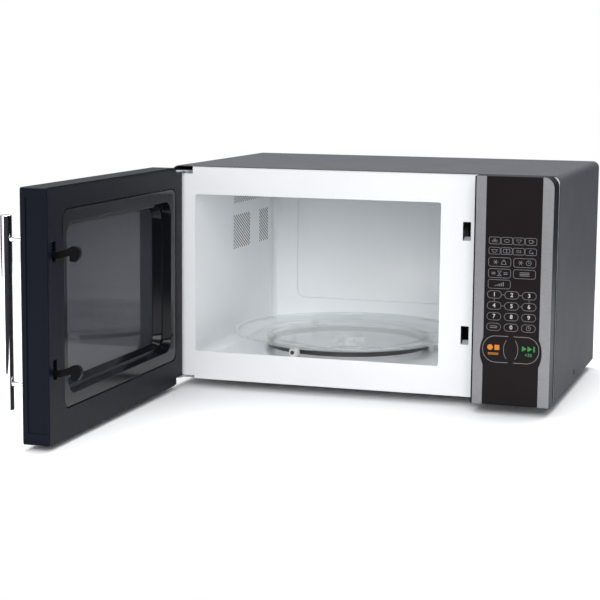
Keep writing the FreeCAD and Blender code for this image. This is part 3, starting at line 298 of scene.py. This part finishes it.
def circuit(name, mask, track):
    """A circuit board's solder mask, with the tracks showing through it."""
    material, tree, shader, spot = new_material(name)
    bricks = add(tree, "ShaderNodeTexBrick", {
        "Vector": spot, "Scale": 90.0, "Color1": (*mask, 1.0), "Color2": (*shade(mask, 0.3), 1.0),
        "Mortar": (*track, 1.0), "Mortar Size": 0.012,
    })
    tree.links.new(bricks.outputs["Color"], shader.inputs["Base Color"])
    grain = noise(tree, spot, 400.0)
    tree.links.new(between(tree, grain, 0.3, 0.5), shader.inputs["Roughness"])
    relief(tree, shader, bricks.outputs["Fac"], 0.2, 0.00005, 0.0002)
    return material


# ---------------------------------------------------------------- materials, one per slot of the record

ENAMEL_WHITE = (0.92, 0.945, 0.965)
PAINT = coat("satin_grey_paint", (0.083, 0.086, 0.096), 0.6, wander=0.05, grain=1800.0, strength=0.12,
             edge=0.0012, Specular_IOR_Level=0.05)
ENAMEL = coat("white_enamel", ENAMEL_WHITE, 0.16, wander=0.012, patch=6.0, grain=260.0,
              strength=0.02, edge=0.0012, Coat_Weight=0.4, Coat_Roughness=0.05)
STAINLESS = brushed("brushed_stainless", (0.235, 0.235, 0.243), 0.4, (120.0, 400.0, 3000.0), strength=0.12)
CHROME = coat("chrome", (0.88, 0.88, 0.9), 0.045, wander=0.02, grain=300.0, strength=0.01,
              edge=0.0003, Metallic=1.0)
# These plastics are near-black; the blue cast in their colours is painted sheen, a bluish sheen put into the
# colour.
BLACK = coat("black_plastic", (0.0022, 0.0036, 0.0082), 0.42, wander=0.1, grain=1400.0, strength=0.06,
             edge=0.0007, Specular_IOR_Level=0.09)
BEZEL = coat("bezel_plastic", (0.0035, 0.0038, 0.0055), 0.13, wander=0.1, grain=500.0, strength=0.02,
             edge=0.0014, Specular_IOR_Level=0.18)
KEYPAD = coat("keypad_film", (0.007, 0.005, 0.0054), 0.34, wander=0.06, grain=1500.0, strength=0.03,
              Specular_IOR_Level=0.1)
INK = coat("grey_ink", (0.17, 0.17, 0.175), 0.5, wander=0.05, edge=0.00005, Specular_IOR_Level=0.2)
DIGIT_INK = coat("pale_ink", (0.42, 0.42, 0.43), 0.5, wander=0.04, edge=0.00005, Specular_IOR_Level=0.2)
STOP_INK = coat("orange_ink", (0.5, 0.17, 0.02), 0.5, wander=0.05, edge=0.00005, Specular_IOR_Level=0.2)
START_INK = coat("green_ink", (0.03, 0.2, 0.045), 0.5, wander=0.05, edge=0.00005, Specular_IOR_Level=0.2)

SLOT_MATERIALS = {
    "wrapper_paint": PAINT,
    "oven_enamel": ENAMEL,
    "zinc_steel": spangled("zinc_steel", (0.58, 0.59, 0.6), 0.34),
    "stainless": STAINLESS,
    "chrome": CHROME,
    "black_plastic": BLACK,
    "bezel_plastic": BEZEL,
    "keypad_film": KEYPAD,
    "dark_glass": glassy("smoked_glass", (0.02, 0.02, 0.022), 0.04, 0.35),
    # The film's blue tint is partly its own tint and partly painted reflection of the bluish cavity seen in
    # the pane.
    "clear_film": glassy("clear_film", (0.62, 0.63, 0.74), 0.05, 0.95, 1.32),
    "clear_glass": glassy("tray_glass", (0.93, 0.995, 0.97), 0.03, 0.9, 1.5, Alpha=0.46),
    "white_plastic": coat("white_acetal", (0.82, 0.82, 0.81), 0.4, wander=0.02, strength=0.05),
    # The ring's dark colour is partly its own and partly painted shade: it stands in for the dark band under
    # the tray's rim.
    "ring_plastic": coat("ring_plastic", (0.05, 0.048, 0.046), 0.4, strength=0.08),
    "hook_plastic": coat("hook_plastic", (0.0025, 0.0025, 0.003), 0.3, wander=0.1, strength=0.08,
                         Specular_IOR_Level=0.06),
    "grey_plastic": coat("grey_plastic", (0.42, 0.43, 0.44), 0.5, wander=0.04, strength=0.12),
    "rubber": coat("rubber", (0.022, 0.022, 0.022), 0.75, wander=0.2, grain=500.0, strength=0.25),
    "mica": coat("mica", (0.6, 0.52, 0.39), 0.35, wander=0.12, patch=140.0, strength=0.1),
    "lamination": banded("laminations", (0.17, 0.17, 0.18), (0.05, 0.05, 0.055), 0.5, "Y", 0.001, 0.7),
    "copper": banded("windings", (0.7, 0.32, 0.16), (0.3, 0.1, 0.05), 0.3, "Z", 0.0012, 0.8),
    "aluminium": brushed("aluminium", (0.66, 0.66, 0.67), 0.4, (500.0, 500.0, 500.0)),
    "board": circuit("circuit_board", (0.03, 0.16, 0.07), (0.3, 0.24, 0.08)),
    "bulb": glassy("bulb_glass", (0.95, 0.93, 0.88), 0.03, 0.9),
    "wire": coat("wire_sleeve", (0.45, 0.06, 0.05), 0.4, wander=0.15, patch=60.0),
    "spring_steel": brushed("spring_steel", (0.4, 0.4, 0.42), 0.3, (900.0, 900.0, 900.0)),
}

# Nodes whose finish differs from the rest of their slot.
NODE_MATERIALS = {
    "front_plate": coat("plate_paint", (0.71, 0.723, 0.737), 0.3, wander=0.01, patch=6.0, grain=500.0,
                        strength=0.03, edge=0.0012),
    "door_screen": perforated("door_screen", (0.05, 0.05, 0.062), (0.002, 0.002, 0.003), 0.0024),
    # The dark colour on the walls of the holes is painted shade inside the holes.
    "cavity_left_wall": punched("punched_enamel", ENAMEL_WHITE, (0.05, 0.05, 0.055), 0.16),
}


def dress_nodes():
    """Gives each CAD node its own material, or that of its slot."""
    for part in frame["record"]["subparts"]:
        name = part["node"]
        material = NODE_MATERIALS.get(name) or SLOT_MATERIALS[part["material_slot"]]
        mesh = frame["nodes"][name].data
        mesh.materials.clear()
        mesh.materials.append(material)


# ---------------------------------------------------------------- the printing on the keypad

FILM_FRONT = -36.85
INK_FRONT = FILM_FRONT - 0.06
INK_BACK = FILM_FRONT + 0.04
LINE = 0.45
SYMBOL_LINE = 0.5
BAR_LINE = 0.7


def rounded_loop(left, low, right, high, radius, steps=6):
    """Points round a rectangle with rounded corners, in x and z."""
    points = []
    corners = ((right - radius, high - radius, 0), (left + radius, high - radius, 90),
               (left + radius, low + radius, 180), (right - radius, low + radius, 270))
    for cx, cz, start in corners:
        for step in range(steps + 1):
            angle = math.radians(start + 90.0 * step / steps)
            points.append(Vector((cx + radius * math.cos(angle), cz + radius * math.sin(angle))))
    return points


def arc(cx, cz, radius, start, end, steps=12):
    """Points along an arc, angles in degrees from +x towards +z."""
    angles = [math.radians(start + (end - start) * step / steps) for step in range(steps + 1)]
    return [Vector((cx + radius * math.cos(a), cz + radius * math.sin(a))) for a in angles]


def ring(cx, cz, radius, steps=20):
    """Points round a circle."""
    return arc(cx, cz, radius, 0.0, 360.0, steps)[:-1]


def poly(*pairs):
    """Points from pairs of x and z."""
    return [Vector(pair) for pair in pairs]


def rectangle(left, low, right, high):
    """Points at the four corners of an upright rectangle."""
    return poly((left, low), (right, low), (right, high), (left, high))


def mirrored(line, middle):
    """The points reflected across the upright at x = middle."""
    return [Vector((2.0 * middle - p.x, p.y)) for p in line]


def stroke(mesh, line, width=LINE, closed=False):
    """A printed line along the points, raised by the thickness of the ink."""
    count = len(line)
    rows = []
    for index, point in enumerate(line):
        before = line[index - 1] if closed or index > 0 else None
        after = line[(index + 1) % count] if closed or index < count - 1 else None
        came = (point - before).normalized() if before is not None else None
        goes = (after - point).normalized() if after is not None else came
        came = came or goes
        along = (came + goes).normalized()
        side = Vector((-along.y, along.x))
        reach = width / 2.0 / max(side.dot(Vector((-goes.y, goes.x))), 0.5)
        left, right = point + side * reach, point - side * reach
        corners = ((left, INK_FRONT), (right, INK_FRONT), (right, INK_BACK), (left, INK_BACK))
        rows.append([mesh.verts.new(place(p.x, y, p.y)) for p, y in corners])
    for index in range(count if closed else count - 1):
        here, there = rows[index], rows[(index + 1) % count]
        for k in range(4):
            mesh.faces.new((here[k], here[(k + 1) % 4], there[(k + 1) % 4], there[k]))
    if not closed:
        mesh.faces.new(rows[0][::-1])
        mesh.faces.new(rows[-1])


def patch(mesh, outline):
    """A filled printed shape inside the outline."""
    front = [mesh.verts.new(place(p.x, INK_FRONT, p.y)) for p in outline]
    back = [mesh.verts.new(place(p.x, INK_BACK, p.y)) for p in outline]
    mesh.faces.new(front)
    mesh.faces.new(back[::-1])
    count = len(outline)
    for k in range(count):
        mesh.faces.new((front[k], back[k], back[(k + 1) % count], front[(k + 1) % count]))


def piece(name, mesh, material, body):
    """Turns the mesh into an object of that name, which rides on the body."""
    bmesh.ops.recalc_face_normals(mesh, faces=mesh.faces)
    data = bpy.data.meshes.new(name)
    mesh.to_mesh(data)
    mesh.free()
    data.materials.append(material)
    thing = bpy.data.objects.new(name, data)
    bpy.context.scene.collection.objects.link(thing)
    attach(thing, body)


def numeral(mesh, text, cx, cz, size):
    """A number printed with its middle at cx, cz."""
    data = bpy.data.curves.new("numeral", "FONT")
    data.body = text
    data.size = size
    data.align_x = "CENTER"
    data.align_y = "CENTER"
    data.extrude = (INK_BACK - INK_FRONT) / 2.0
    data.offset = 0.12
    data.resolution_u = 4
    shape = bpy.data.objects.new("numeral", data)
    bpy.context.scene.collection.objects.link(shape)
    bpy.context.view_layer.update()
    solid = bpy.data.meshes.new_from_object(shape.evaluated_get(bpy.context.evaluated_depsgraph_get()))
    middle = (INK_FRONT + INK_BACK) / 2.0
    for vertex in solid.vertices:
        vertex.co = place(cx + vertex.co.x, middle - vertex.co.z, cz + vertex.co.y)
    mesh.from_mesh(solid)
    bpy.data.objects.remove(shape)
    bpy.data.curves.remove(data)
    bpy.data.meshes.remove(solid)


# Sides of the keys in the order left, low, right, high, or the middles of their rows and columns.
QUICK_CELLS = (432.4, 447.4, 462.4, 477.3, 492.3)
QUICK_ROWS = ((201.0, 209.5), (188.5, 196.8))
WIDE_KEYS = (
    (432.9, 173.3, 460.5, 184.3),
    (464.0, 173.3, 491.3, 184.3),
    (432.9, 159.4, 460.5, 170.3),
    (464.0, 159.4, 491.3, 170.3),
    (432.9, 146.0, 460.5, 156.8),
)
PILL_COLUMNS = (441.0, 462.7, 484.3)
PILL_ROWS = (138.4, 124.6, 111.2, 98.0)
PILL_HALF_WIDTH = 8.7
PILL_HALF_HEIGHT = 4.6
LINK_GAP = 0.4
BIG_KEY = (427.9, 53.9, 498.1, 86.8)
BIG_KEY_GAP = 3.4
BIG_KEY_MIDDLE = (BIG_KEY[0] + BIG_KEY[2]) / 2.0
DIVIDER_RADIUS = 21.3
DIVIDER_OFFSET = 12.3
DIVIDER_ARC = (147.0, 213.0)
STOP_CENTRE = (441.2, 72.4)
START_CENTRE = (485.0, 72.4)
DIGIT_SIZE = 7.0


def pill_outlines(mesh):
    """The number keys, joined by short links in the first two rows."""
    for cz in PILL_ROWS:
        for cx in PILL_COLUMNS:
            loop = rounded_loop(cx - PILL_HALF_WIDTH, cz - PILL_HALF_HEIGHT,
                                cx + PILL_HALF_WIDTH, cz + PILL_HALF_HEIGHT, PILL_HALF_HEIGHT - 0.05)
            stroke(mesh, loop, LINE, True)
    reach = PILL_HALF_WIDTH + LINK_GAP
    for cz in PILL_ROWS[:2]:
        for left, right in zip(PILL_COLUMNS, PILL_COLUMNS[1:]):
            stroke(mesh, poly((left + reach, cz), (right - reach, cz)))
    reach = PILL_HALF_HEIGHT + LINK_GAP
    for cx in (PILL_COLUMNS[0], PILL_COLUMNS[-1]):
        stroke(mesh, poly((cx, PILL_ROWS[0] - reach), (cx, PILL_ROWS[1] + reach)))


def big_key_outline(mesh):
    """The wide bottom key: two halves with a gap between them, and two arcs that divide it."""
    left, low, right, high = BIG_KEY
    radius = (high - low) / 2.0 - 0.6
    gap_side = BIG_KEY_MIDDLE - BIG_KEY_GAP
    half = (poly((gap_side, high))
            + arc(left + radius, high - radius, radius, 90.0, 180.0)
            + arc(left + radius, low + radius, radius, 180.0, 270.0)
            + poly((gap_side, low)))
    divider = arc(BIG_KEY_MIDDLE + DIVIDER_OFFSET, (low + high) / 2.0, DIVIDER_RADIUS, *DIVIDER_ARC)
    for line, width in ((half, 0.7), (divider, 0.6)):
        stroke(mesh, line, width)
        stroke(mesh, mirrored(line, BIG_KEY_MIDDLE), width)


def key_outlines():
    """The outlines of the keys."""
    mesh = bmesh.new()
    for low, high in QUICK_ROWS:
        for left, right in zip(QUICK_CELLS, QUICK_CELLS[1:]):
            stroke(mesh, rounded_loop(left + 0.5, low, right - 0.5, high, 1.8), LINE, True)
    for left, low, right, high in WIDE_KEYS:
        stroke(mesh, rounded_loop(left, low, right, high, 2.8), LINE, True)
    pill_outlines(mesh)
    big_key_outline(mesh)
    piece("keypad_outlines", mesh, INK, "cabinet")


def key_numbers():
    """The ten digits on their round-ended keys."""
    mesh = bmesh.new()
    for index in range(9):
        numeral(mesh, str(index + 1), PILL_COLUMNS[index % 3], PILL_ROWS[index // 3], DIGIT_SIZE)
    numeral(mesh, "0", PILL_COLUMNS[1], PILL_ROWS[3], DIGIT_SIZE)
    piece("keypad_numbers", mesh, DIGIT_INK, "cabinet")


def snowflake(mesh, cx, cz, size):
    """Three lines through one point."""
    for angle in (0.0, 60.0, 120.0):
        tip = Vector((math.cos(math.radians(angle)), math.sin(math.radians(angle)))) * size
        stroke(mesh, [Vector((cx, cz)) - tip, Vector((cx, cz)) + tip], SYMBOL_LINE)


def clock(mesh, cx, cz, size):
    """A ring with two hands."""
    stroke(mesh, ring(cx, cz, size), SYMBOL_LINE, True)
    stroke(mesh, poly((cx, cz + size * 0.65), (cx, cz), (cx + size * 0.5, cz)), SYMBOL_LINE)


def bars(mesh, cx, cz, half, count, step=1.9):
    """Short lines below one another, centred, where a key has a caption."""
    for index in range(count):
        z = cz + step * ((count - 1) / 2.0 - index)
        stroke(mesh, poly((cx - half, z), (cx + half, z)), BAR_LINE)


def popcorn(mesh, cx, cz):
    """Three small rings in a heap."""
    for dx, dz in ((-2.0, -0.9), (0.0, 0.9), (2.0, -0.9)):
        stroke(mesh, ring(cx + dx, cz + dz, 1.2, 10), LINE, True)


def potato(mesh, cx, cz):
    """An oval."""
    oval = [Vector((cx + 3.2 * p.x, cz + 1.8 * p.y)) for p in ring(0.0, 0.0, 1.0)]
    stroke(mesh, oval, SYMBOL_LINE, True)


def slice_of_pizza(mesh, cx, cz):
    """A triangle that points down."""
    corners = poly((cx - 3.4, cz + 1.7), (cx + 3.4, cz + 1.7), (cx, cz - 2.3))
    stroke(mesh, corners, SYMBOL_LINE, True)


def cup(mesh, cx, cz):
    """A cup with its handle on the right."""
    corners = poly((cx - 2.6, cz + 1.8), (cx - 1.8, cz - 1.9), (cx + 1.2, cz - 1.9), (cx + 2.0, cz + 1.8))
    stroke(mesh, corners, SYMBOL_LINE, True)
    stroke(mesh, arc(cx + 2.0, cz, 1.3, 90.0, -90.0, 8), SYMBOL_LINE)


def bowl(mesh, cx, cz):
    """Half a ring under a straight rim."""
    stroke(mesh, arc(cx, cz + 1.0, 3.0, 180.0, 360.0), SYMBOL_LINE)
    stroke(mesh, poly((cx - 4.0, cz + 1.2), (cx + 4.0, cz + 1.2)), SYMBOL_LINE)


def dinner_tray(mesh, cx, cz):
    """A rounded tray with two compartments."""
    stroke(mesh, rounded_loop(cx - 4.0, cz - 2.2, cx + 4.0, cz + 2.2, 0.9), SYMBOL_LINE, True)
    stroke(mesh, poly((cx, cz - 2.0), (cx, cz + 2.0)), SYMBOL_LINE)


def steam(mesh, cx, cz):
    """Three rising waves."""
    for dx in (-2.2, 0.0, 2.2):
        wave = [Vector((cx + dx + 0.5 * math.sin(k * 0.9), cz - 2.0 + k * 0.5)) for k in range(9)]
        stroke(mesh, wave, SYMBOL_LINE)


def warm_again(mesh, cx, cz):
    """An open ring that ends in an arrowhead."""
    stroke(mesh, arc(cx, cz, 2.0, 60.0, 340.0, 16), SYMBOL_LINE)
    patch(mesh, poly((cx + 0.6, cz - 1.4), (cx + 2.9, cz - 0.2), (cx + 2.9, cz - 2.6)))


def weight(mesh, cx, cz):
    """A weight with a ring on top."""
    corners = poly((cx - 3.0, cz - 2.6), (cx - 1.8, cz + 1.2), (cx + 1.8, cz + 1.2), (cx + 3.0, cz - 2.6))
    stroke(mesh, corners, SYMBOL_LINE, True)
    stroke(mesh, ring(cx, cz + 2.2, 0.9, 10), 0.4, True)


def hourglass(mesh, cx, cz):
    """Two triangles, tip to tip."""
    corners = poly((cx - 2.4, cz + 3.0), (cx + 2.4, cz + 3.0), (cx - 2.4, cz - 3.0), (cx + 2.4, cz - 3.0))
    stroke(mesh, corners, SYMBOL_LINE, True)


def rising_steps(mesh, cx, cz):
    """Five upright bars, each taller than the last."""
    for index in range(5):
        x = cx - 5.0 + 2.5 * index
        stroke(mesh, poly((x, cz - 2.4), (x, cz - 1.4 + index * 0.95)), 1.1)


def key_symbols():
    """A small symbol on each of the function keys."""
    mesh = bmesh.new()
    middles = [(a + b) / 2.0 for a, b in zip(QUICK_CELLS, QUICK_CELLS[1:])]
    signs = ((popcorn, potato, slice_of_pizza, cup), (bowl, dinner_tray, steam, warm_again))
    for (low, high), row in zip(QUICK_ROWS, signs):
        for cx, sign in zip(middles, row):
            sign(mesh, cx, (low + high) / 2.0)
    thaw_by_weight, thaw_by_time, timer, memory, power = [
        ((left + right) / 2.0, (low + high) / 2.0) for left, low, right, high in WIDE_KEYS]
    cx, cz = thaw_by_weight
    snowflake(mesh, cx - 5.0, cz, 3.0)
    weight(mesh, cx + 5.0, cz)
    cx, cz = thaw_by_time
    snowflake(mesh, cx - 5.0, cz, 3.0)
    clock(mesh, cx + 5.0, cz, 3.0)
    cx, cz = timer
    hourglass(mesh, cx, cz)
    bars(mesh, cx - 7.5, cz, 2.4, 2)
    bars(mesh, cx + 7.5, cz, 2.4, 2)
    bars(mesh, *memory, 6.0, 3)
    rising_steps(mesh, *power)
    clock(mesh, PILL_COLUMNS[2], PILL_ROWS[3], 2.7)
    bars(mesh, PILL_COLUMNS[0], PILL_ROWS[3], 4.6, 2, 2.2)
    piece("keypad_symbols", mesh, INK, "cabinet")


def stop_mark():
    """An orange eight-sided sign and a square, over two bars."""
    mesh = bmesh.new()
    cx, cz = STOP_CENTRE
    patch(mesh, [Vector((cx - 4.0 + p.x, cz + p.y)) for p in arc(0.0, 0.0, 3.7, 22.5, 337.5, 7)])
    patch(mesh, rectangle(cx + 1.6, cz - 3.2, cx + 7.6, cz + 3.2))
    bars(mesh, cx, cz - 7.2, 6.6, 1)
    bars(mesh, cx, cz - 8.7, 6.6, 1)
    piece("stop_mark", mesh, STOP_INK, "cabinet")


def start_mark():
    """Two green arrowheads and a bar, over a number of seconds."""
    mesh = bmesh.new()
    cx, cz = START_CENTRE
    patch(mesh, poly((cx - 8.0, cz - 3.4), (cx - 2.0, cz), (cx - 8.0, cz + 3.4)))
    patch(mesh, poly((cx - 1.0, cz - 3.4), (cx + 5.0, cz), (cx - 1.0, cz + 3.4)))
    patch(mesh, rectangle(cx + 6.2, cz - 3.4, cx + 8.0, cz + 3.4))
    numeral(mesh, "+30", cx, cz - 7.8, 5.6)
    piece("start_mark", mesh, START_INK, "cabinet")


# ---------------------------------------------------------------- the scene


def make_floor():
    """A wide sheet of pale paper under the feet, which ends a little in front of the open door."""
    mesh = bmesh.new()
    bmesh.ops.create_grid(mesh, x_segments=8, y_segments=8, size=1.0)
    bmesh.ops.scale(mesh, verts=mesh.verts, vec=(FLOOR_HALF, (FLOOR_REAR - FLOOR_FRONT) / 2.0, 1.0))
    bmesh.ops.translate(mesh, verts=mesh.verts, vec=(0.0, (FLOOR_REAR + FLOOR_FRONT) / 2.0, 0.0))
    data = bpy.data.meshes.new("floor")
    mesh.to_mesh(data)
    mesh.free()
    data.materials.append(coat("floor_paper", (0.86, 0.86, 0.865), 0.7, wander=0.01, patch=2.0,
                               grain=200.0, strength=0.03))
    floor = bpy.data.objects.new("floor", data)
    bpy.context.scene.collection.objects.link(floor)


make_camera()
make_world()
soft_light("key", spot=(0.45, -2.4, 1.2), aim=(-0.05, 0.0, 0.12), size=1.6, power=55.0)
soft_light("low_card", spot=(-1.3, -1.6, 0.2), aim=(-0.1, -0.2, 0.2), size=1.0, power=8.0)
soft_sun("sky", where=(-0.1, 0.4, 1.0), spread=60.0, strength=3.35)
make_floor()
dress_nodes()
key_outlines()
key_numbers()
key_symbols()
stop_mark()
start_mark()
bpy.context.scene.view_settings.view_transform = "Standard"
